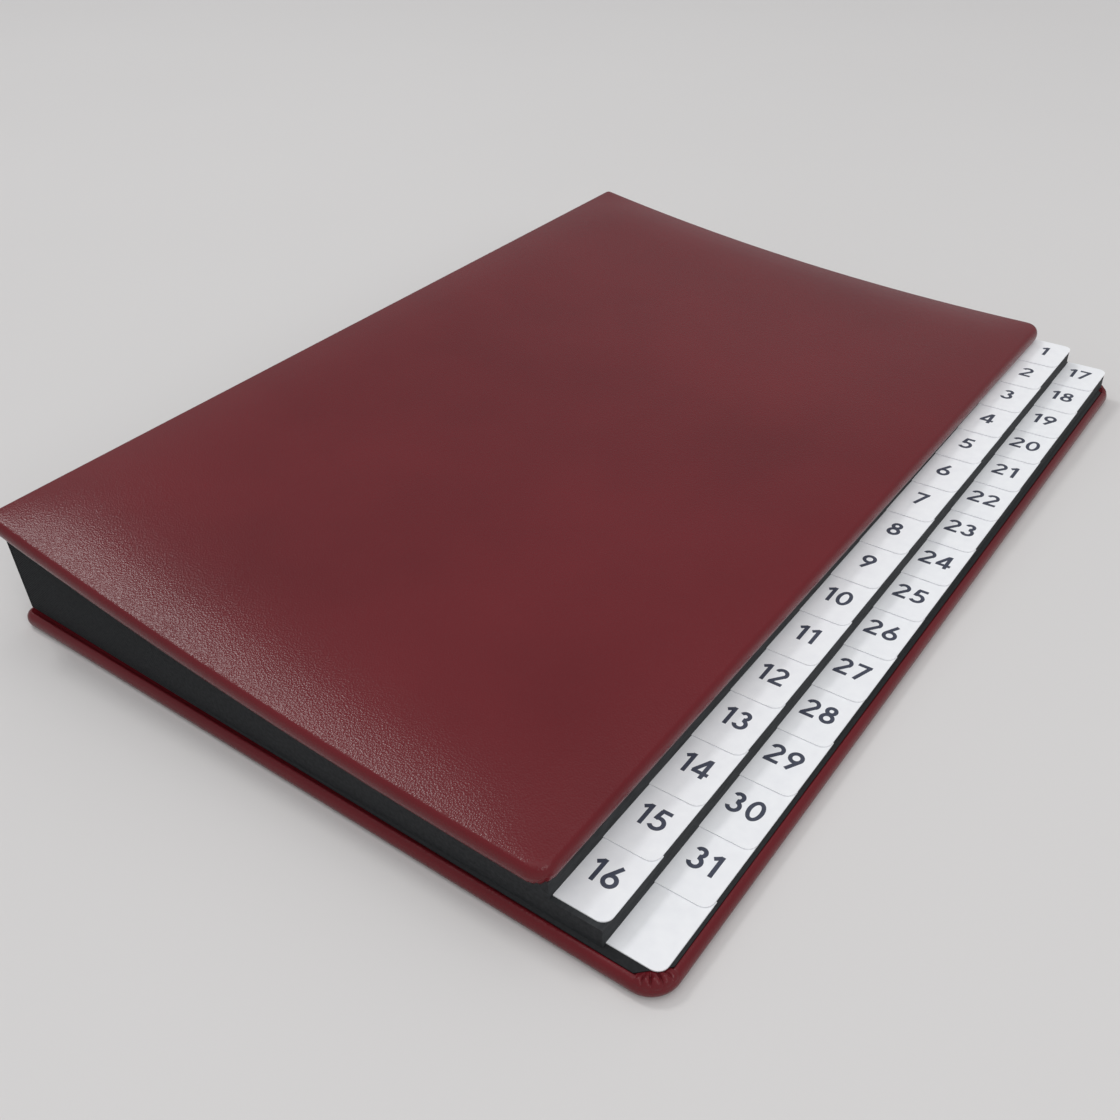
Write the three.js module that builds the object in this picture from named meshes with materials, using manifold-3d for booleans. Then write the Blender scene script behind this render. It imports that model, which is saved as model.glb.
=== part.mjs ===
// Desk sorter: a folder with padded leather covers and thirty-two tabbed card dividers.
// It lies on its back cover, with the spine at -X, the tabs at +X and the near edge at -Y.
// Millimetres. The origin is under the middle of the back cover, on the surface it lies on.

import * as THREE from 'three';
import { mergeVertices } from 'three/addons/utils/BufferGeometryUtils.js';
import Module from 'manifold-3d';

const wasm = await Module();
wasm.setup();

// Dividers
const cardWidth = 204.5; // from the bound edge to the left column of tabs
const cardThickness = 0.32;
const cardGap = 0.06; // air between two cards at the fore edge
const tabWidth = 14.5;
const tabPitch = 20; // one tab along the fore edge
const tabRows = 16; // tabs in each of the two columns
const tabCorner = 3;
const cardFoot = 1.4; // the cards run on past the last tab
const bindingRise = 18.7; // the hinged cards are this much thicker together at the spine

// Covers
const nearMargin = 3.6; // covers beyond the cards, at the near and far ends
const farMargin = 2;
const foreMargin = 3.3; // back cover beyond the right column of tabs
const frontOverhang = 1.4; // front cover beyond the left column's inner edge
const backForeCorner = 8;
const backSpineCorner = 4;
const frontForeCorner = 6;
const frontSpineCorner = 1.5;
const leatherThickness = 0.9;
const boardThickness = 2.2;
const liningThickness = 0.3;
const frontPadding = 1.3; // at the rim
const backPadding = 0.5;
const crown = 2; // the front cover's padding swells by this much inside its rim
const crownReach = 36;
const crownSpread = 1.5; // above 1, the crown's rings lie closer together near the rim
const rollRadius = 2; // the leather's turn over the board's edge
const turnIn = 15; // leather under the lining
const layerGap = 0.1;
const innerCorner = 0.6; // least corner radius of a ring inside a cover, as a share of its inset
const liningGap = 0.1; // between the lining's edge and the rolled leather

// Spine
const spineInset = 1.2; // the strip's outer face behind the covers' edges
const spineThickness = 0.8;
const bindingGap = 0.1; // cards' bound edges to the strip

// Facets
const stations = 12; // steps along X, for the slope of the cards and the front cover
const cornerSteps = 3;
const rollSteps = 6; // even, so that a step lies on the outermost edge
const crownSteps = 3;
const levelSteps = 4; // rings across the level band inside a sloping cover's rim
const weldDistance = 1e-4; // corners closer than this are one corner

const leafCount = 2 * tabRows;
const cardLength = tabRows * tabPitch + cardFoot;
const coverLength = nearMargin + cardLength + farMargin;
const cardStart = spineInset + spineThickness + bindingGap;
const frontWidth = cardStart + cardWidth + frontOverhang;
const backWidth = cardStart + cardWidth + 2 * tabWidth + foreMargin;

const spineX = -backWidth / 2;
const frontForeX = spineX + frontWidth;
const boundX = spineX + cardStart;
const leftTabX = boundX + cardWidth;
const cardNear = -coverLength / 2 + nearMargin;
const cardFar = cardNear + cardLength;

// Heights inside a cover, from the lining's face outwards
const turnInFace = liningThickness + layerGap;
const boardFace = turnInFace + leatherThickness + layerGap;
const paddingFace = boardFace + boardThickness + layerGap;
const coverThickness = (padding) => paddingFace + padding + layerGap + leatherThickness;

const foreStack = leafCount * (cardThickness + cardGap);
const backTop = coverThickness(backPadding);

// Height of the pile of dividers at x: level beyond the front cover, and rising to the spine
function stackHeight(x) {
  const inward = Math.max(0, frontForeX - x) / frontWidth;
  return foreStack + bindingRise * inward ** 2;
}

const frontFace = (x) => backTop + stackHeight(x) + layerGap;
const backFace = () => backTop;

const leather = new THREE.MeshStandardMaterial({ color: 0x6a2c31, roughness: 0.5, metalness: 0 });
const foam = new THREE.MeshStandardMaterial({ color: 0xd8d2c4, roughness: 0.95, metalness: 0 });
const greyboard = new THREE.MeshStandardMaterial({ color: 0x9a948a, roughness: 0.9, metalness: 0 });
const blackPaper = new THREE.MeshStandardMaterial({ color: 0x17181a, roughness: 0.8, metalness: 0 });
const blackCard = new THREE.MeshStandardMaterial({ color: 0x232527, roughness: 0.75, metalness: 0 });
const bookcloth = new THREE.MeshStandardMaterial({ color: 0x1d1f21, roughness: 0.9, metalness: 0 });

const backPlate = {
  left: spineX,
  width: backWidth,
  spineCorner: backSpineCorner,
  foreCorner: backForeCorner,
  face: backFace,
  side: -1,
  bands: 1,
};
const frontPlate = {
  left: spineX,
  width: frontWidth,
  spineCorner: frontSpineCorner,
  foreCorner: frontForeCorner,
  face: frontFace,
  side: 1,
  bands: levelSteps,
};

// The radius of a plate's corner, at a ring that lies inset from its edge
function ringCorner(radius, inset) {
  return Math.max(radius - inset, innerCorner * inset, layerGap);
}

// The near half of a plate's outline, from its spine to its fore edge
function nearHalf(plate, inset) {
  const near = -coverLength / 2 + inset;
  const left = plate.left + inset;
  const right = plate.left + plate.width - inset;
  const points = [];
  const arc = (x, radius, from) => {
    for (let step = 0; step <= cornerSteps; step++) {
      const angle = from + (step / cornerSteps) * (Math.PI / 2);
      points.push([x + radius * Math.cos(angle), near + radius + radius * Math.sin(angle)]);
    }
  };
  const atSpine = ringCorner(plate.spineCorner, inset);
  const atFore = ringCorner(plate.foreCorner, inset);
  arc(left + atSpine, atSpine, Math.PI);
  for (let step = 1; step < stations; step++) {
    points.push([THREE.MathUtils.lerp(left + atSpine, right - atFore, step / stations), near]);
  }
  arc(right - atFore, atFore, 1.5 * Math.PI);
  return points;
}

// A closed body through rings of a plate's outline. Each ring is [inset, height], with heights
// from the lining's face outwards, and the first and last rings are closed across.
function loft(plate, rings) {
  const positions = [];
  const index = [];
  for (const [inset, height] of rings) {
    const half = nearHalf(plate, inset);
    const place = (x, y) => positions.push(x, y, plate.face(x) + plate.side * height);
    half.forEach(([x, y]) => place(x, y));
    [...half].reverse().forEach(([x, y]) => place(x, -y));
  }
  const count = positions.length / 3 / rings.length;
  const quad = (a, b, c, d) => {
    if (plate.side > 0) index.push(a, b, c, a, c, d);
    else index.push(a, c, b, a, d, c);
  };
  for (let ring = 0; ring + 1 < rings.length; ring++) {
    for (let at = 0; at < count; at++) {
      const next = (at + 1) % count;
      const upper = ring * count;
      const lower = upper + count;
      quad(upper + at, lower + at, lower + next, upper + next);
    }
  }
  const last = (rings.length - 1) * count;
  for (let at = 0; at + 1 < count / 2; at++) {
    const across = count - 1 - at;
    quad(at, at + 1, across - 1, across);
    quad(last + across, last + across - 1, last + at + 1, last + at);
  }
  const geometry = new THREE.BufferGeometry();
  geometry.setAttribute('position', new THREE.Float32BufferAttribute(positions, 3));
  geometry.setIndex(index);
  geometry.computeVertexNormals();
  return geometry;
}

// Rings over a cover's padded side, from the middle to the rim, at this height of the rim
function crownRings(rimHeight, swell) {
  const rings = [];
  const steps = swell > 0 ? crownSteps : 1;
  for (let step = steps; step >= 0; step--) {
    const share = step / steps;
    const rise = swell * (1 - (1 - share) ** 2);
    rings.push([THREE.MathUtils.lerp(rollRadius, crownReach, share ** crownSpread), rimHeight + rise]);
  }
  return rings;
}

// Rings round the rim, as half an ellipse from the outer side to the lining's side
function rimRings(outer, inner, reach) {
  const rings = [];
  for (let step = 1; step <= rollSteps; step++) {
    const angle = (step / rollSteps) * Math.PI;
    const height = (outer + inner) / 2 + ((outer - inner) / 2) * Math.cos(angle);
    rings.push([rollRadius - reach * Math.sin(angle), height]);
  }
  return rings;
}

// Rings across a level face, so that it follows the cover's slope
function levelRings(plate, from, to, height) {
  const rings = [];
  for (let step = 0; step <= plate.bands; step++) {
    rings.push([THREE.MathUtils.lerp(from, to, step / plate.bands), height]);
  }
  return rings;
}

// Leather over a cover's outer side, round its rim and turned in under the lining
function coverLeather(plate, padding, swell) {
  const outer = coverThickness(padding);
  const turned = turnInFace + leatherThickness;
  const innerRim = rimRings(outer - leatherThickness, turned, rollRadius - leatherThickness);
  return loft(plate, [
    ...crownRings(outer, swell),
    ...rimRings(outer, 0, rollRadius),
    ...levelRings(plate, rollRadius + liningGap, turnIn, turnInFace),
    ...levelRings(plate, turnIn, rollRadius + liningGap, turned),
    ...innerRim.reverse(),
    ...crownRings(outer - leatherThickness, swell).reverse(),
  ]);
}

// Foam between the board and the leather
function coverPadding(plate, padding, swell) {
  const edge = rollRadius + layerGap;
  const rings = crownRings(paddingFace + padding, swell);
  const crowned = rings.map(([inset, height]) => [Math.max(inset, edge), height]);
  return loft(plate, [...crowned, ...levelRings(plate, edge, crownReach, paddingFace)]);
}

// A flat layer between two heights inside a cover
function coverLayer(plate, edge, inner, outer) {
  return loft(plate, [
    ...levelRings(plate, crownReach, edge, outer),
    ...levelRings(plate, edge, crownReach, inner),
  ]);
}

function coverBoard(plate) {
  return coverLayer(plate, rollRadius + layerGap, boardFace, boardFace + boardThickness);
}

function coverLining(plate) {
  return coverLayer(plate, rollRadius + 2 * liningGap, 0, liningThickness);
}

// A closed geometry as a solid that can be cut
function solidOf(geometry) {
  const bare = geometry.clone();
  bare.deleteAttribute('normal');
  bare.deleteAttribute('uv');
  const merged = mergeVertices(bare, weldDistance);
  return new wasm.Manifold(new wasm.Mesh({
    numProp: 3,
    vertProperties: Float32Array.from(merged.attributes.position.array),
    triVerts: Uint32Array.from(merged.index.array),
  }));
}

function geometryOf(solid) {
  const mesh = solid.getMesh();
  const geometry = new THREE.BufferGeometry();
  geometry.setAttribute('position', new THREE.BufferAttribute(mesh.vertProperties, 3));
  geometry.setIndex(new THREE.BufferAttribute(mesh.triVerts, 1));
  geometry.computeVertexNormals();
  return geometry;
}

// A shape in X and Z, drawn out along Y from near to far
function alongY(points, near, far) {
  const shape = new THREE.Shape(points.map(([x, z]) => new THREE.Vector2(x, z)));
  const geometry = new THREE.ExtrudeGeometry(shape, { depth: far - near, bevelEnabled: false });
  return geometry.rotateX(Math.PI / 2).translate(0, far, 0);
}

// A curved sheet that follows the slope of the pile, the given number of cards above the lining
function sheet(level, foreX) {
  const lower = [];
  const upper = [];
  for (let step = 0; step <= stations; step++) {
    const slopeX = THREE.MathUtils.lerp(boundX, frontForeX, step / stations);
    const x = step === stations ? foreX : slopeX;
    const bottom = backTop + (level * stackHeight(slopeX)) / leafCount + cardGap / 2;
    lower.push([x, bottom]);
    upper.unshift([x, bottom + cardThickness]);
  }
  return alongY([...lower, ...upper], cardNear - cardFoot, cardFar + cardFoot);
}

// The outline of a divider, cut back below its tab
function cardOutline(column, row) {
  const bodyX = leftTabX + column * tabWidth;
  const tabX = bodyX + tabWidth;
  const tabFoot = cardFar - (row + 1) * tabPitch;
  const shape = new THREE.Shape();
  shape.moveTo(boundX, cardNear);
  shape.lineTo(bodyX, cardNear);
  shape.lineTo(bodyX, tabFoot);
  shape.lineTo(tabX - tabCorner, tabFoot);
  shape.absarc(tabX - tabCorner, tabFoot + tabCorner, tabCorner, -Math.PI / 2, 0, false);
  shape.absarc(tabX - tabCorner, cardFar - tabCorner, tabCorner, 0, Math.PI / 2, false);
  shape.lineTo(boundX, cardFar);
  const height = frontFace(spineX);
  return new THREE.ExtrudeGeometry(shape, { depth: height, bevelEnabled: false, curveSegments: cornerSteps });
}

function divider(number) {
  const column = Math.floor((number - 1) / tabRows);
  const row = (number - 1) % tabRows;
  const card = solidOf(sheet(leafCount - number, leftTabX + 2 * tabWidth));
  return geometryOf(card.intersect(solidOf(cardOutline(column, row))));
}

// Cloth strip behind the dividers, between the two covers
function spineStrip() {
  const outer = spineX + spineInset;
  const inner = outer + spineThickness;
  const foot = backTop + layerGap;
  const head = (x) => frontFace(x) - layerGap;
  return alongY([[outer, foot], [inner, foot], [inner, head(inner)], [outer, head(outer)]], cardNear, cardFar);
}

function named(name, geometry, material) {
  const mesh = new THREE.Mesh(geometry, material.clone());
  mesh.name = name;
  return mesh;
}

function cover(name, plate, padding, swell) {
  const group = new THREE.Group();
  group.add(named(`${name}_leather`, coverLeather(plate, padding, swell), leather));
  group.add(named(`${name}_padding`, coverPadding(plate, padding, swell), foam));
  group.add(named(`${name}_board`, coverBoard(plate), greyboard));
  group.add(named(`${name}_lining`, coverLining(plate), blackPaper));
  return group;
}

function block() {
  const group = new THREE.Group();
  group.add(named('spine_strip', spineStrip(), bookcloth));
  for (let number = 1; number <= leafCount; number++) {
    group.add(named(`divider_${String(number).padStart(2, '0')}`, divider(number), blackCard));
  }
  return group;
}

const folder = new THREE.Group();
folder.add(cover('back_cover', backPlate, backPadding, 0));
folder.add(block());
folder.add(cover('front_cover', frontPlate, frontPadding, crown));

export default folder;
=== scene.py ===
"""Leather index folder: a desk sorter with padded burgundy covers and numbered white tabs."""

import logging
import math
from dataclasses import dataclass
from enum import Enum

import bmesh
import bpy
from mathutils import Euler, Matrix, Vector, noise


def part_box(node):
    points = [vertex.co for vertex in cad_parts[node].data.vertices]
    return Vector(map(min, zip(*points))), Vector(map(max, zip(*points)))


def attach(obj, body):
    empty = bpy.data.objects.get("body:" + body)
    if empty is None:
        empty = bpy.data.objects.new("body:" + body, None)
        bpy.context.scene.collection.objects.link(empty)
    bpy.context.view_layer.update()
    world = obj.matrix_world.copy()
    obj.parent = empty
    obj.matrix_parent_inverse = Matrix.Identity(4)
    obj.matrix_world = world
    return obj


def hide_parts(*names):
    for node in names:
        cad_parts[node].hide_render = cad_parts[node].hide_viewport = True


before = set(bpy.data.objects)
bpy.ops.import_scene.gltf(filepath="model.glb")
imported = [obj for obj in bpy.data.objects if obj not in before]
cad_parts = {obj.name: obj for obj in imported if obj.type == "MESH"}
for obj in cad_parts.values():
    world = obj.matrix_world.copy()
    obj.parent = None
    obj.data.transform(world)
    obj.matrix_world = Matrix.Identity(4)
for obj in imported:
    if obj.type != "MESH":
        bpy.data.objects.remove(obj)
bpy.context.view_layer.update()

log = logging.getLogger("folder")
MM = 0.001
SAME_PLACE = 1e-6
CUT_TOLERANCE = 1e-7
ACROSS = Vector((1, 0, 0))
ALONG = Vector((0, 1, 0))

Colour = tuple[float, float, float, float]
Point = tuple[float, float, float]


class Body(Enum):
    """The rigid bodies that pieces ride on."""

    BACK = "back_cover"
    BLOCK = "divider_block"
    FRONT = "front_cover"


class Facing(Enum):
    """Which way a cover's outer side faces."""

    UP = 1
    DOWN = -1


class End(Enum):
    """A cover's two ends, each with the way in from it along y."""

    NEAR = 1
    FAR = -1


class Place(Enum):
    """A plate's corners, each with its side in x and its end in y."""

    NEAR_LEFT = (0, 0)
    FAR_LEFT = (0, 1)
    NEAR_RIGHT = (1, 0)
    FAR_RIGHT = (1, 1)


def shade(red: int, green: int, blue: int) -> Colour:
    """Turns a colour as a screen shows it into the linear colour that a shader takes.

    Args:
        red: Red, from 0 to 255.
        green: Green, from 0 to 255.
        blue: Blue, from 0 to 255.

    Returns:
        The linear colour with full alpha.
    """
    shown = [level / 255 for level in (red, green, blue)]
    linear = [((c + 0.055) / 1.055) ** 2.4 if c > 0.04045 else c / 12.92 for c in shown]
    return (*linear, 1.0)


@dataclass(frozen=True)
class Tones:
    """Two tones of one colour, and the values of a pattern at which each of them is reached."""

    low: Colour
    high: Colour
    start: float = 0.25
    end: float = 0.75


@dataclass(frozen=True)
class Relief:
    """How deep a pattern stands in a surface, and how strongly that shows."""

    depth: float
    strength: float


class Nodes:
    """A material's node tree, with short calls for the nodes that the finishes share."""

    def __init__(self, name: str, roughness: float, specular: float) -> None:
        """Starts a material with one shader.

        Args:
            name: The material's name.
            roughness: The shader's roughness.
            specular: The shader's specular level.
        """
        self.material = bpy.data.materials.new(name)
        self.material.use_nodes = True
        self.tree = self.material.node_tree
        self.shader = self.tree.nodes["Principled BSDF"]
        self.shader.inputs["Roughness"].default_value = roughness
        self.shader.inputs["Specular IOR Level"].default_value = specular
        self.place = self.add("ShaderNodeTexCoord").outputs["Object"]

    def add(self, kind: str, **inputs: object) -> bpy.types.Node:
        """Adds a node and sets or links its inputs by name.

        Args:
            kind: The node's type.
            **inputs: Socket names, with _ for a space, and a value or an output socket for each.

        Returns:
            The new node.
        """
        node = self.tree.nodes.new(kind)
        for name, value in inputs.items():
            socket = node.inputs[name.replace("_", " ")]
            if isinstance(value, bpy.types.NodeSocket):
                self.tree.links.new(value, socket)
            else:
                socket.default_value = value
        return node

    def stretched(self, scale: Point) -> bpy.types.NodeSocket:
        """Returns the place on the object, stretched along each axis."""
        return self.add("ShaderNodeMapping", Vector=self.place, Scale=scale).outputs["Vector"]

    def noise(
        self, scale: float, detail: float = 4.0, at: bpy.types.NodeSocket | None = None
    ) -> bpy.types.NodeSocket:
        """Returns a noise value over the object, at this scale per metre."""
        vector = at or self.place
        return self.add("ShaderNodeTexNoise", Vector=vector, Scale=scale, Detail=detail).outputs["Fac"]

    def cells(self, scale: float) -> bpy.types.NodeSocket:
        """Returns the distance from the middle of each cell of a pebbled grain."""
        return self.add("ShaderNodeTexVoronoi", Vector=self.place, Scale=scale).outputs["Distance"]

    def colour(self, pattern: bpy.types.NodeSocket, tones: Tones) -> None:
        """Gives the shader its base colour, which runs between two tones with a pattern."""
        ramp = self.add("ShaderNodeValToRGB", Fac=pattern)
        first, last = ramp.color_ramp.elements
        first.position, first.color = tones.start, tones.low
        last.position, last.color = tones.end, tones.high
        self.tree.links.new(ramp.outputs["Color"], self.shader.inputs["Base Color"])

    def bump(
        self, height: bpy.types.NodeSocket, relief: Relief, under: bpy.types.NodeSocket | None = None
    ) -> bpy.types.NodeSocket:
        """Adds a bump and links it to the shader.

        Args:
            height: The height, from 0 to 1.
            relief: How far that is, and how strong.
            under: The normal of a bump that this one lies on.

        Returns:
            The bumped normal.
        """
        node = self.add("ShaderNodeBump", Height=height, Distance=relief.depth, Strength=relief.strength)
        if under is not None:
            self.tree.links.new(under, node.inputs["Normal"])
        self.tree.links.new(node.outputs["Normal"], self.shader.inputs["Normal"])
        return node.outputs["Normal"]


@dataclass(frozen=True)
class Leather:
    """Burgundy leather with a fine pebbled grain and a soft sheen."""

    tones: Tones = Tones(shade(89, 22, 28), shade(103, 29, 35), 0.2, 0.8)
    roughness: float = 0.26
    specular: float = 0.22
    mottle: float = 14.0
    crease: float = 475.0
    crease_detail: float = 2.0
    crease_relief: Relief = Relief(0.06 * MM, 0.12)
    pebble: float = 1900.0
    pebble_relief: Relief = Relief(0.09 * MM, 0.6)

    def material(self) -> bpy.types.Material:
        """Returns the leather's material."""
        nodes = Nodes("burgundy_leather", self.roughness, self.specular)
        nodes.colour(nodes.noise(self.mottle), self.tones)
        creased = nodes.bump(nodes.noise(self.crease, self.crease_detail), self.crease_relief)
        nodes.bump(nodes.cells(self.pebble), self.pebble_relief, creased)
        return nodes.material


@dataclass(frozen=True)
class Card:
    """Black divider card, cut cleanly, with a faint fibre."""

    tones: Tones = Tones(shade(34, 36, 38), shade(52, 54, 56), 0.3)
    roughness: float = 0.72
    specular: float = 0.3
    fibre: float = 900.0
    stretch: Point = (1.0, 0.25, 1.0)
    relief: Relief = Relief(0.03 * MM, 0.3)

    def material(self) -> bpy.types.Material:
        """Returns the card's material."""
        nodes = Nodes("black_card", self.roughness, self.specular)
        fibres = nodes.noise(self.fibre, at=nodes.stretched(self.stretch))
        nodes.colour(fibres, self.tones)
        nodes.bump(fibres, self.relief)
        return nodes.material


@dataclass(frozen=True)
class Cloth:
    """Black binding cloth with a plain weave."""

    tones: Tones = Tones(shade(24, 25, 27), shade(46, 48, 50), 0.1, 0.9)
    roughness: float = 0.9
    specular: float = 0.2
    thread: float = 130.0
    unevenness: float = 0.4
    relief: Relief = Relief(0.08 * MM, 0.5)

    def threads(self, nodes: Nodes, direction: str) -> bpy.types.NodeSocket:
        """Returns a pattern of threads that follow each other along an axis."""
        wave = nodes.add(
            "ShaderNodeTexWave", Vector=nodes.place, Scale=self.thread, Distortion=self.unevenness
        )
        wave.bands_direction = direction
        return wave.outputs["Fac"]

    def material(self) -> bpy.types.Material:
        """Returns the cloth's material."""
        nodes = Nodes("binding_cloth", self.roughness, self.specular)
        weave = nodes.add("ShaderNodeMath", Value=self.threads(nodes, "Y"))
        weave.operation = "MULTIPLY"
        nodes.tree.links.new(self.threads(nodes, "Z"), weave.inputs[1])
        nodes.colour(weave.outputs["Value"], self.tones)
        nodes.bump(weave.outputs["Value"], self.relief)
        return nodes.material


@dataclass(frozen=True)
class Sheet:
    """A smooth sheet, such as lining paper, board, foam or a printed white tab."""

    name: str
    tones: Tones
    grain: float
    roughness: float
    relief: Relief = Relief(0.02 * MM, 0.3)
    specular: float = 0.35

    def material(self) -> bpy.types.Material:
        """Returns the sheet's material."""
        nodes = Nodes(self.name, self.roughness, self.specular)
        fibres = nodes.noise(self.grain)
        nodes.colour(fibres, self.tones)
        nodes.bump(fibres, self.relief)
        return nodes.material


COARSE = Relief(0.05 * MM, 0.3)
OPEN = Relief(0.1 * MM, 0.3)
FLAT = Relief(0.0, 0.3)

LINING = Sheet("black_lining", Tones(shade(18, 19, 21), shade(34, 36, 38)), 1400.0, 0.6, COARSE)
BOARD = Sheet("grey_board", Tones(shade(138, 132, 124), shade(168, 162, 152)), 500.0, 0.9, COARSE)
FOAM = Sheet("pale_foam", Tones(shade(204, 198, 184), shade(224, 218, 206)), 2400.0, 0.95, OPEN)
TAB_WHITE = Sheet("tab_white", Tones(shade(229, 230, 233), shade(235, 236, 238)), 300.0, 0.9)
PRINT = Sheet("number_print", Tones(shade(52, 56, 70), shade(64, 68, 84)), 1500.0, 0.55)
FLOOR = Sheet("floor_paper", Tones(shade(205, 203, 202), shade(208, 206, 205)), 2.0, 0.9, FLAT)


def dress(node: str, material: bpy.types.Material) -> None:
    """Gives a carried-over solid its material."""
    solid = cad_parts[node]
    solid.data.materials.clear()
    solid.data.materials.append(material)


def solid_piece(
    name: str, mesh: bmesh.types.BMesh, material: bpy.types.Material, body: Body
) -> bpy.types.Object:
    """Makes a shown piece from a finished mesh, and lets it ride on its body.

    Args:
        name: The piece's name.
        mesh: The finished mesh, which is freed.
        material: The piece's material.
        body: The body that the piece rides on.

    Returns:
        The new object.
    """
    data = bpy.data.meshes.new(name)
    mesh.to_mesh(data)
    mesh.free()
    data.materials.append(material)
    data.shade_smooth()
    piece = bpy.data.objects.new(name, data)
    bpy.context.scene.collection.objects.link(piece)
    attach(piece, body.value)
    return piece


def raise_faces(mesh: bmesh.types.BMesh, faces: list[bmesh.types.BMFace], height: float) -> None:
    """Extrudes faces straight up by a height."""
    grown = bmesh.ops.extrude_face_region(mesh, geom=faces)
    top = [item for item in grown["geom"] if isinstance(item, bmesh.types.BMVert)]
    bmesh.ops.translate(mesh, verts=top, vec=(0, 0, height))


def cut_across(mesh: bmesh.types.BMesh, axis: Vector, distance: float) -> None:
    """Cuts a mesh through, square to an axis, and keeps both sides."""
    everything = mesh.verts[:] + mesh.edges[:] + mesh.faces[:]
    bmesh.ops.bisect_plane(
        mesh, geom=everything, dist=CUT_TOLERANCE, plane_co=axis * distance, plane_no=axis
    )


def slice_along(mesh: bmesh.types.BMesh, axis: Vector, start: float, end: float, step: float) -> None:
    """Cuts a mesh across at even steps, so that it can bend.

    Args:
        mesh: The mesh to cut.
        axis: The direction in which the cuts follow each other.
        start: Where the first step starts.
        end: Where the last step ends.
        step: The longest step.
    """
    count = max(1, math.ceil((end - start) / step))
    for number in range(1, count):
        cut_across(mesh, axis, start + (end - start) * number / count)


@dataclass(frozen=True)
class Corner:
    """A plate's cut corner: how far the cut reaches, and in how many straight steps it turns."""

    reach: float
    steps: int = 1


@dataclass(frozen=True)
class Plate:
    """A flat plate with cut corners, standing on z = 0."""

    left: float
    right: float
    near: float
    far: float
    height: float
    corners: dict[Place, Corner]

    def mesh(self) -> bmesh.types.BMesh:
        """Returns the plate's mesh."""
        mesh = bmesh.new()
        middle = Matrix.Translation(((self.left + self.right) / 2, (self.near + self.far) / 2, 0))
        size = Matrix.Diagonal((self.right - self.left, self.far - self.near, 1, 1))
        bmesh.ops.create_grid(mesh, x_segments=1, y_segments=1, size=0.5, matrix=middle @ size)
        for place, corner in self.corners.items():
            side, end = place.value
            spot = Vector(((self.left, self.right)[side], (self.near, self.far)[end], 0))
            vertex = min(mesh.verts, key=lambda vertex: (vertex.co - spot).length)
            bmesh.ops.bevel(
                mesh,
                geom=[vertex],
                offset=corner.reach,
                segments=corner.steps,
                profile=0.5,
                affect="VERTICES",
                material=-1,
            )
        raise_faces(mesh, mesh.faces[:], self.height)
        bmesh.ops.recalc_face_normals(mesh, faces=mesh.faces[:])
        return mesh


@dataclass(frozen=True)
class Pleats:
    """The gathers at a cover's fore corners.

    The gathered leather starts under the lining, at a share of the way from the corner's centre to
    the roll's crest. It climbs to the lining's face between another share and the crest, and then
    follows the roll. Its folds wander a little, and all of it stands a hair proud of the skin.
    """

    count: int = 5
    height: float = 0.6 * MM
    depth: float = 0.8 * MM
    wall: float = 0.25 * MM
    start: float = 0.3
    climb: float = 0.8
    rings: int = 18
    slices: int = 96
    wander: float = 0.03
    wander_rate: float = 7.0
    roundness: float = 0.45
    proud: float = 0.02 * MM
    rim_fade: float = 0.7
    end_fade: float = 0.5

    def fold(self, turn: float) -> float:
        """Returns how far a fold rises at a share of the corner's turn, from 0 in a crease to 1."""
        wandered = turn + self.wander * math.sin(self.wander_rate * turn)
        return abs(math.sin(math.pi * self.count * wandered)) ** self.roundness


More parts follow.
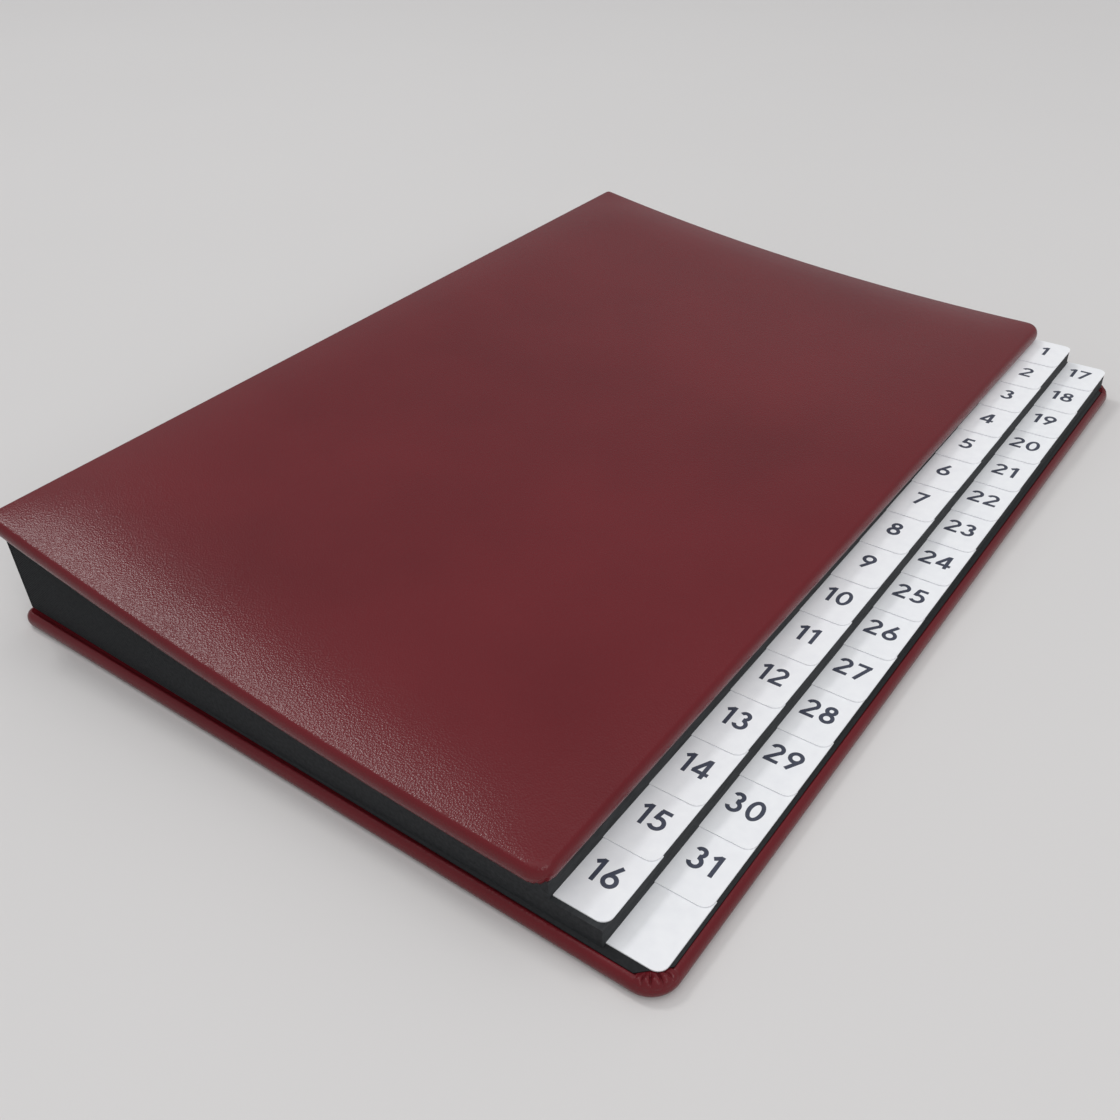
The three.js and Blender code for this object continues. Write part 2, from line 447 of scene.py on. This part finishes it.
@dataclass
class Cover:
    """One cover: leather over foam and board, turned in under a black lining.

    Heights in its meshes run from the lining's face to the outer side until they are placed. The rise
    is from the fore edge to the spine, the crown is how far the padding swells, and the slant is how
    far the lining's near edge strays from the cover's at the spine.
    """

    body: Body
    facing: Facing
    fore_radius: float
    spine_radius: float
    thickness: float
    rise: float
    crown: float
    slant: float
    pleats: Pleats = Pleats()
    reach: float = 36 * MM
    shoulder: int = 3
    ripple: float = 0.06
    ripple_rate: float = 22.0
    roll: float = 2.0 * MM
    rolled_height: float = 2.02
    roll_steps: int = 8
    fore_steps: int = 12
    spine_steps: int = 5
    turn_in: float = 15 * MM
    wall: float = 0.9 * MM
    lining_thickness: float = 0.3 * MM
    layer_gap: float = 0.1 * MM
    fore_snip: float = 6.5 * MM
    spine_snip: float = 1.5 * MM
    step: float = 4.5 * MM

    def __post_init__(self) -> None:
        """Reads the cover's place from its leather solid."""
        low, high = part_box(f"{self.body.value}_leather")
        self.left, self.right = low.x, high.x
        self.near, self.far = low.y, high.y
        self.width = self.right - self.left
        self.face = low.z if self.facing is Facing.UP else high.z
        self.inset = self.roll + 2 * self.layer_gap

    def slope(self, x: float) -> float:
        """Returns how far the cover has risen at x, above its fore edge."""
        return self.rise * (max(0.0, self.right - x) / self.width) ** 2

    def swell(self, spot: Vector) -> float:
        """Returns how far the padding stands above the rim at a spot."""
        across = 1.0
        for distance in (spot.x - self.left, self.right - spot.x, spot.y - self.near, self.far - spot.y):
            share = min(1.0, max(0.0, (distance - self.roll) / self.reach))
            across *= 1 - (1 - share) ** self.shoulder
        return self.crown * (1 + self.ripple * noise.noise(spot * self.ripple_rate)) * across

    def corner_centre(self, end: End) -> Vector:
        """Returns the centre of the fore corner's curve at an end."""
        edge = self.near if end is End.NEAR else self.far
        return Vector((self.right - self.fore_radius, edge + end.value * self.fore_radius, 0))

    def fold_room(self, spot: Vector) -> float:
        """Returns how much room the gathers have at a spot, from 0 to 1 at the middle of a fore corner."""
        end = End.FAR if spot.y > (self.near + self.far) / 2 else End.NEAR
        centre = self.corner_centre(end)
        arm = Vector((spot.x - centre.x, (centre.y - spot.y) * end.value))
        if min(arm) <= 0:
            return 0.0
        turn = math.atan2(arm.y, arm.x) / (math.pi / 2)
        inside_rim = (self.fore_radius - arm.length) / (self.pleats.rim_fade * self.roll)
        lining_edge = 2 * (self.fore_radius - self.inset) - self.fore_snip
        past_lining = (arm.x + arm.y - lining_edge) / self.roll
        fade = math.sin(math.pi * turn) ** self.pleats.end_fade
        return fade * max(0.0, min(1.0, inside_rim, past_lining))

    def placed(self, mesh: bmesh.types.BMesh) -> bmesh.types.BMesh:
        """Moves a mesh from heights above the lining's face to its place on the folder.

        Args:
            mesh: The mesh, which is changed.

        Returns:
            The same mesh.
        """
        for vertex in mesh.verts:
            vertex.co.z = self.face + self.slope(vertex.co.x) + self.facing.value * vertex.co.z
        if self.facing is Facing.DOWN:
            bmesh.ops.reverse_faces(mesh, faces=mesh.faces[:])
        return mesh

    def leather(self, material: bpy.types.Material) -> bpy.types.Object:
        """Makes the leather: a skin with a rolled rim, open under the lining, with a wall all over.

        Args:
            material: The leather's material.

        Returns:
            The leather.
        """
        bead = self.rolled_height * self.roll
        spine_corner = Corner(self.spine_radius, self.spine_steps)
        fore_corner = Corner(self.fore_radius, self.fore_steps)
        corners = {
            Place.NEAR_LEFT: spine_corner,
            Place.FAR_LEFT: spine_corner,
            Place.NEAR_RIGHT: fore_corner,
            Place.FAR_RIGHT: fore_corner,
        }
        mesh = Plate(self.left, self.right, self.near, self.far, bead, corners).mesh()
        self.roll_rim(mesh)
        bmesh.ops.scale(mesh, verts=mesh.verts[:], vec=(1, 1, self.thickness / bead))
        under = min(mesh.faces, key=lambda face: face.calc_center_median().z - face.calc_area())
        bmesh.ops.inset_region(mesh, faces=[under], thickness=self.layer_gap, use_even_offset=True)
        bmesh.ops.translate(mesh, verts=under.verts[:], vec=(0, 0, self.lining_thickness + self.layer_gap))
        slice_along(mesh, ACROSS, self.left, self.right, self.step)
        slice_along(mesh, ALONG, self.near, self.far, self.step)
        self.open_window(mesh)
        for vertex in mesh.verts:
            lift = max(0.0, vertex.co.z / self.thickness - 0.5) * 2
            sink = self.pleats.depth * self.fold_room(vertex.co) * (vertex.co.z < self.thickness / 2)
            vertex.co.z += self.swell(vertex.co) * lift + sink
        bmesh.ops.solidify(mesh, geom=mesh.faces[:], thickness=self.wall)
        bmesh.ops.recalc_face_normals(mesh, faces=mesh.faces[:])
        piece = solid_piece(f"{self.body.value}_skin", self.placed(mesh), material, self.body)
        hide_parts(f"{self.body.value}_leather")
        return piece

    def roll_rim(self, mesh: bmesh.types.BMesh) -> None:
        """Rounds a plate's upper and lower rims, so that they meet in one roll."""
        rims = [edge for edge in mesh.edges if abs(edge.verts[0].co.z - edge.verts[1].co.z) < SAME_PLACE]
        bmesh.ops.bevel(
            mesh,
            geom=rims,
            offset=self.roll,
            segments=self.roll_steps,
            profile=0.5,
            affect="EDGES",
            material=-1,
            clamp_overlap=True,
        )

    def open_window(self, mesh: bmesh.types.BMesh) -> None:
        """Cuts away the leather's inner side, but for the band that is turned in."""
        left, right = self.left + self.turn_in, self.right - self.turn_in
        near, far = self.near + self.turn_in, self.far - self.turn_in
        for axis, distance in ((ACROSS, left), (ACROSS, right), (ALONG, near), (ALONG, far)):
            cut_across(mesh, axis, distance)
        doomed = []
        for face in mesh.faces:
            spot = face.calc_center_median()
            if spot.z < self.thickness / 4 and left < spot.x < right and near < spot.y < far:
                doomed.append(face)
        bmesh.ops.delete(mesh, geom=doomed, context="FACES")

    def lining(self, material: bpy.types.Material) -> bpy.types.Object:
        """Makes the lining: a thin sheet inside the rolled rim, snipped at its corners.

        Args:
            material: The lining's material.

        Returns:
            The lining.
        """
        corners = {
            Place.NEAR_LEFT: Corner(self.spine_snip),
            Place.FAR_LEFT: Corner(self.spine_snip),
            Place.NEAR_RIGHT: Corner(self.fore_snip),
            Place.FAR_RIGHT: Corner(self.fore_snip),
        }
        mesh = Plate(
            self.left + self.inset,
            self.right - self.inset,
            self.near + self.inset,
            self.far - self.inset,
            self.lining_thickness,
            corners,
        ).mesh()
        slice_along(mesh, ACROSS, self.left, self.right, 2 * self.step)
        for vertex in mesh.verts:
            nearness = (self.far - vertex.co.y) / (self.far - self.near)
            vertex.co.y += self.slant * nearness * (self.right - vertex.co.x) / self.width
        name = f"{self.body.value}_lining_sheet"
        piece = solid_piece(name, self.placed(mesh), material, self.body)
        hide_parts(f"{self.body.value}_lining")
        return piece

    def gather(self, end: End, material: bpy.types.Material) -> bpy.types.Object:
        """Makes the gathered leather that is turned in at a fore corner.

        Args:
            end: The end that the corner is at.
            material: The leather's material.

        Returns:
            The gathered leather.
        """
        pleats = self.pleats
        centre = self.corner_centre(end)
        crest = self.fore_radius - self.roll
        start = pleats.start * crest
        mesh = bmesh.new()
        line = []
        for ring in range(pleats.rings + 1):
            out = start + (self.fore_radius - start) * ring / pleats.rings
            past = max(0.0, out - crest) / self.roll
            climbed = min(1.0, max(0.0, out / crest - pleats.climb) / (1 - pleats.climb))
            base = (self.lining_thickness + self.layer_gap) * (1 - climbed)
            curl = self.thickness / 2 * (1 - math.sqrt(max(0.0, 1 - past**2)))
            line.append(mesh.verts.new(centre + Vector((out, 0, base + curl))))
        edges = [mesh.edges.new(pair) for pair in zip(line, line[1:])]
        bmesh.ops.spin(
            mesh,
            geom=line + edges,
            cent=centre,
            axis=(0, 0, 1),
            angle=-end.value * math.pi / 2,
            steps=pleats.slices,
        )
        for vertex in mesh.verts:
            arm = vertex.co - centre
            turn = math.atan2(abs(arm.y), arm.x) / (math.pi / 2)
            deep = pleats.depth - (pleats.depth + pleats.height) * pleats.fold(turn)
            vertex.co.z += deep * self.fold_room(vertex.co) - pleats.proud
        bmesh.ops.recalc_face_normals(mesh, faces=mesh.faces[:])
        bmesh.ops.solidify(mesh, geom=mesh.faces[:], thickness=pleats.wall)
        bmesh.ops.recalc_face_normals(mesh, faces=mesh.faces[:])
        name = f"{self.body.value}_gather_{end.name.lower()}"
        return solid_piece(name, self.placed(mesh), material, self.body)

    def build(self, leather: bpy.types.Material, lining: bpy.types.Material) -> list[bpy.types.Object]:
        """Builds the cover's pieces and dresses the solids inside it.

        Args:
            leather: The leather's material.
            lining: The lining's material.

        Returns:
            The new pieces.
        """
        skin = self.leather(leather)
        dress(f"{self.body.value}_padding", FOAM.material())
        dress(f"{self.body.value}_board", BOARD.material())
        return [skin, self.lining(lining), self.gather(End.NEAR, leather), self.gather(End.FAR, leather)]


STROKE = 0.165
TOP_BAR = 1 - STROKE / 2
FOOT_BAR = STROKE / 2


@dataclass(frozen=True)
class Bar:
    """A straight stroke of a figure, in units of its height."""

    start: tuple[float, float]
    end: tuple[float, float]

    def draw(self, mesh: bmesh.types.BMesh) -> None:
        """Adds the stroke to a mesh."""
        start, end = Vector((*self.start, 0)), Vector((*self.end, 0))
        way = end - start
        turn = Matrix.Rotation(math.atan2(way.y, way.x), 4, "Z")
        size = Matrix.Diagonal((way.length, STROKE, 1, 1))
        matrix = Matrix.Translation((start + end) / 2) @ turn @ size
        bmesh.ops.create_grid(mesh, x_segments=1, y_segments=1, size=0.5, matrix=matrix)


@dataclass(frozen=True)
class Bowl:
    """A round stroke of a figure, from one angle to another, in units of its height.

    The radius is that of its middle line, and tall is how much taller that is than wide.
    """

    centre: tuple[float, float]
    radius: float
    start: float = 0.0
    sweep: float = 360.0
    tall: float = 1.0
    step: float = 9.0
    fewest: int = 6

    def draw(self, mesh: bmesh.types.BMesh) -> None:
        """Adds the stroke to a mesh."""
        first = math.radians(self.start)
        way = Vector((math.cos(first), math.sin(first), 0))
        ends = [mesh.verts.new(way * (self.radius + side * STROKE / 2)) for side in (-1, 1)]
        edge = mesh.edges.new(ends)
        before = set(mesh.verts) - set(ends)
        bmesh.ops.spin(
            mesh,
            geom=ends + [edge],
            cent=(0, 0, 0),
            axis=(0, 0, 1),
            angle=math.radians(self.sweep),
            steps=max(self.fewest, round(abs(self.sweep) / self.step)),
            use_merge=abs(self.sweep) >= 360,
        )
        for vertex in [vertex for vertex in mesh.verts if vertex not in before]:
            length = vertex.co.length
            side = -1 if length < self.radius else 1
            vertex.co.y *= (self.radius * self.tall + side * STROKE / 2) / length
            vertex.co += Vector((*self.centre, 0))


@dataclass(frozen=True)
class Figure:
    """One figure of a plain geometric alphabet: how wide it is, and its strokes."""

    width: float
    strokes: tuple[Bar | Bowl, ...]


SMALL_BOWL = 0.255 - STROKE / 2
BIG_BOWL = 0.3 - STROKE / 2
SIX_BOWL = 0.31 - STROKE / 2
FIVE_BOWL = 0.33 - STROKE / 2
ZERO_BOWL = 0.32 - STROKE / 2

NUMERALS = {
    "0": Figure(0.64, (Bowl((0.32, 0.5), ZERO_BOWL, tall=1.758),)),
    "1": Figure(0.36, (Bar((0.27, 0), (0.27, 1)), Bar((0.02, 0.76), (0.26, 0.93)))),
    "2": Figure(
        0.6,
        (
            Bowl((0.3, 0.7), BIG_BOWL, 165, -205),
            Bar((0.49, 0.61), (0.08, 0.1)),
            Bar((0.02, FOOT_BAR), (0.6, FOOT_BAR)),
        ),
    ),
    "3": Figure(0.57, (Bowl((0.26, 0.745), SMALL_BOWL, 160, -250), Bowl((0.27, 0.3), BIG_BOWL, 90, -255))),
    "4": Figure(
        0.66,
        (Bar((0.46, 0), (0.46, 1)), Bar((0, 0.26), (0.66, 0.26)), Bar((0.05, 0.26), (0.42, 0.95))),
    ),
    "5": Figure(
        0.6,
        (
            Bar((0.13, TOP_BAR), (0.56, TOP_BAR)),
            Bar((0.19, 0.92), (0.12, 0.48)),
            Bowl((0.27, 0.33), FIVE_BOWL, 128, -275),
        ),
    ),
    "6": Figure(0.62, (Bowl((0.31, 0.31), SIX_BOWL), Bar((0.113, 0.424), (0.44, 0.99)))),
    "7": Figure(0.58, (Bar((0, TOP_BAR), (0.58, TOP_BAR)), Bar((0.5, 0.92), (0.17, 0)))),
    "8": Figure(0.6, (Bowl((0.3, 0.745), SMALL_BOWL), Bowl((0.3, 0.3), BIG_BOWL))),
    "9": Figure(0.62, (Bowl((0.31, 0.69), SIX_BOWL), Bar((0.507, 0.576), (0.18, 0.01)))),
}


@dataclass
class Tabs:
    """The white tabs and numbers, printed on the cards in two columns.

    Each tab runs on under the card above it by its tail, and its cut edge strays a little. A number's
    middle lies at shares of the tab's width and pitch. Its strokes stand one layer above each other,
    so that no two of them share a plane.
    """

    rows: int = 16
    pitch: float = 20 * MM
    width: float = 14.5 * MM
    card: float = 0.32 * MM
    tail: float = 3.5 * MM
    corner: Corner = Corner(3 * MM, 8)
    film: float = 0.03 * MM
    stray: float = 0.1 * MM
    stray_rate: float = 2.4
    ink: float = 0.02 * MM
    ink_layers: int = 4
    digit_height: float = 7.0 * MM
    digit_space: float = 0.16
    middle: tuple[float, float] = (0.455, 0.585)

    def place(self, number: int) -> tuple[Vector, float]:
        """Finds a tab's near left corner on its card.

        Args:
            number: The divider's number, from 1 at the top.

        Returns:
            The corner, on the card's upper face, and the y of the card's far end.
        """
        low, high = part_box(f"divider_{number:02d}")
        row = (number - 1) % self.rows
        foot = high.y - (row + 1) * self.pitch
        return Vector((high.x - self.width, foot, low.z + self.card)), high.y

    def lay(self, number: int, mesh: bmesh.types.BMesh) -> None:
        """Tilts a mesh that lies level at a card's fore edge, so that it follows the card's slope.

        Args:
            number: The divider's number.
            mesh: The mesh, which is changed.
        """
        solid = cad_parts[f"divider_{number:02d}"]
        spots = [solid.matrix_world @ vertex.co for vertex in solid.data.vertices]
        fore = max(spot.x for spot in spots)
        inner = [spot for spot in spots if spot.x < fore - 2 * self.width]
        bend = max(spot.x for spot in inner)
        rise = min(spot.z for spot in inner if spot.x > bend - SAME_PLACE)
        slope = (rise - min(spot.z for spot in spots)) / (fore - bend)
        for vertex in mesh.verts:
            vertex.co.z += slope * (fore - vertex.co.x)

    def label(self, number: int, material: bpy.types.Material) -> bpy.types.Object:
        """Makes one white tab, which wraps the card's edges.

        Args:
            number: The divider's number.
            material: The tab's material.

        Returns:
            The white tab.
        """
        foot, end = self.place(number)
        reach = foot.y + self.pitch + self.tail
        stray = self.stray * (1 + math.sin(self.stray_rate * number))
        corners = {Place.NEAR_RIGHT: self.corner}
        if end < reach:
            corners[Place.FAR_RIGHT] = self.corner
        mesh = Plate(
            foot.x - self.film - stray / 2,
            foot.x + self.width + self.film + stray,
            foot.y - self.film,
            min(reach, end + self.film),
            self.card + self.film,
            corners,
        ).mesh()
        under = min(mesh.faces, key=lambda face: face.calc_center_median().z)
        bmesh.ops.inset_region(mesh, faces=[under], thickness=self.film, use_even_offset=True)
        bmesh.ops.translate(mesh, verts=under.verts[:], vec=(0, 0, self.card))
        bmesh.ops.translate(mesh, verts=mesh.verts[:], vec=(0, 0, foot.z - self.card))
        self.lay(number, mesh)
        piece = solid_piece(f"tab_{number:02d}", mesh, material, Body.BLOCK)
        piece.data.shade_flat()
        return piece

    def draw(self, mesh: bmesh.types.BMesh, digit: str) -> None:
        """Adds a digit's strokes to a mesh, each a layer thicker than the one before."""
        layer = self.ink / self.digit_height / self.ink_layers
        for number, stroke in enumerate(NUMERALS[digit].strokes, self.ink_layers):
            old = set(mesh.faces)
            stroke.draw(mesh)
            raise_faces(mesh, [face for face in mesh.faces if face not in old], layer * number)

    def number(self, number: int, material: bpy.types.Material) -> bpy.types.Object:
        """Makes one printed number.

        Args:
            number: The number to print.
            material: The print's material.

        Returns:
            The number.
        """
        foot, _ = self.place(number)
        mesh = bmesh.new()
        reach = 0.0
        for digit in str(number):
            before = set(mesh.verts)
            self.draw(mesh, digit)
            fresh = [vertex for vertex in mesh.verts if vertex not in before]
            bmesh.ops.translate(mesh, verts=fresh, vec=(reach, 0, 0))
            reach += NUMERALS[digit].width + self.digit_space
        start = Matrix.Translation((-(reach - self.digit_space) / 2, -0.5, 0))
        size = Matrix.Scale(self.digit_height, 4)
        across, along = self.middle
        spot = Vector((foot.x + self.width * across, foot.y + self.pitch * along, foot.z + self.film))
        bmesh.ops.transform(mesh, verts=mesh.verts[:], matrix=Matrix.Translation(spot) @ size @ start)
        self.lay(number, mesh)
        bmesh.ops.recalc_face_normals(mesh, faces=mesh.faces[:])
        piece = solid_piece(f"number_{number:02d}", mesh, material, Body.BLOCK)
        piece.data.shade_flat()
        return piece

    def build(self) -> list[bpy.types.Object]:
        """Builds every tab, and the numbers on all but the last.

        Returns:
            The new pieces.
        """
        white = TAB_WHITE.material()
        print_ink = PRINT.material()
        last = 2 * self.rows
        pieces = [self.label(number, white) for number in range(1, last + 1)]
        return pieces + [self.number(number, print_ink) for number in range(1, last)]


@dataclass(frozen=True)
class Lamp:
    """A soft square lamp: where it hangs, the point that it faces, its side and its watts."""

    name: str
    place: Point
    aim: Point
    size: float
    power: float

    def hang(self) -> None:
        """Hangs the lamp in the scene."""
        data = bpy.data.lights.new(self.name, "AREA")
        data.size = self.size
        data.energy = self.power
        lamp = bpy.data.objects.new(self.name, data)
        lamp.location = self.place
        lamp.rotation_euler = (Vector(self.aim) - Vector(self.place)).to_track_quat("-Z", "Y").to_euler()
        bpy.context.scene.collection.objects.link(lamp)


@dataclass
class Studio:
    """A pale floor, soft light, and the camera at the photograph's place."""

    camera_place: Point = (0.19564, -0.28718, 0.22916)
    camera_turn: Point = (53.646, 2.381, 36.505)
    lens: float = 37.527
    sensor: float = 36.0
    nearest: float = 0.01
    floor_size: float = 6.0
    floor_squares: int = 8
    room_colour: Colour = (0.97, 0.98, 1.0, 1.0)
    room_light: float = 0.5
    lamps: tuple[Lamp, ...] = (
        Lamp("window", (-1.71, 0.23, 2.51), (-0.06, -0.13, 0.03), 0.5, 18.0),
        Lamp("fill", (2.0, -0.8, 1.4), (0.0, 0.0, 0.0), 1.2, 16.0),
        Lamp("ceiling", (0.2, -0.1, 2.0), (0.0, 0.0, 0.0), 2.4, 15.0),
    )

    def camera(self) -> None:
        """Sets the camera up."""
        data = bpy.data.cameras.new("camera")
        data.sensor_fit = "HORIZONTAL"
        data.sensor_width = self.sensor
        data.lens = self.lens
        data.clip_start = self.nearest
        camera = bpy.data.objects.new("camera", data)
        camera.location = self.camera_place
        camera.rotation_euler = Euler([math.radians(angle) for angle in self.camera_turn])
        bpy.context.scene.collection.objects.link(camera)
        bpy.context.scene.camera = camera

    def floor(self) -> None:
        """Lays the pale floor under the folder."""
        mesh = bmesh.new()
        squares = self.floor_squares
        bmesh.ops.create_grid(mesh, x_segments=squares, y_segments=squares, size=self.floor_size / 2)
        data = bpy.data.meshes.new("floor")
        mesh.to_mesh(data)
        mesh.free()
        data.materials.append(FLOOR.material())
        floor = bpy.data.objects.new("floor", data)
        bpy.context.scene.collection.objects.link(floor)

    def room(self) -> None:
        """Fills the room with even light."""
        world = bpy.data.worlds.new("room")
        world.use_nodes = True
        background = world.node_tree.nodes["Background"]
        background.inputs["Color"].default_value = self.room_colour
        background.inputs["Strength"].default_value = self.room_light
        bpy.context.scene.world = world

    def build(self) -> None:
        """Builds the whole studio."""
        self.camera()
        self.floor()
        self.room()
        for lamp in self.lamps:
            lamp.hang()
        bpy.context.scene.view_settings.view_transform = "Standard"


def main() -> None:
    """Builds the folder around its solids and reports each piece."""
    Studio().build()
    leather = Leather().material()
    lining = LINING.material()
    back = Cover(
        body=Body.BACK,
        facing=Facing.DOWN,
        fore_radius=8 * MM,
        spine_radius=4 * MM,
        thickness=5.2 * MM,
        rise=0.0,
        crown=0.0,
        slant=1.6 * MM,
    )
    front = Cover(
        body=Body.FRONT,
        facing=Facing.UP,
        fore_radius=6 * MM,
        spine_radius=2.6 * MM,
        thickness=6.0 * MM,
        rise=18.7 * MM,
        crown=2 * MM,
        slant=0.0,
    )
    pieces = back.build(leather, lining) + front.build(leather, lining) + Tabs().build()
    card = Card().material()
    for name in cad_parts:
        if name.startswith("divider_"):
            dress(name, card)
    dress("spine_strip", Cloth().material())
    for piece in pieces:
        log.info("%s: %d faces", piece.name, len(piece.data.polygons))


if __name__ == "__main__":
    logging.basicConfig(level=logging.INFO, format="%(name)s %(message)s")
    main()
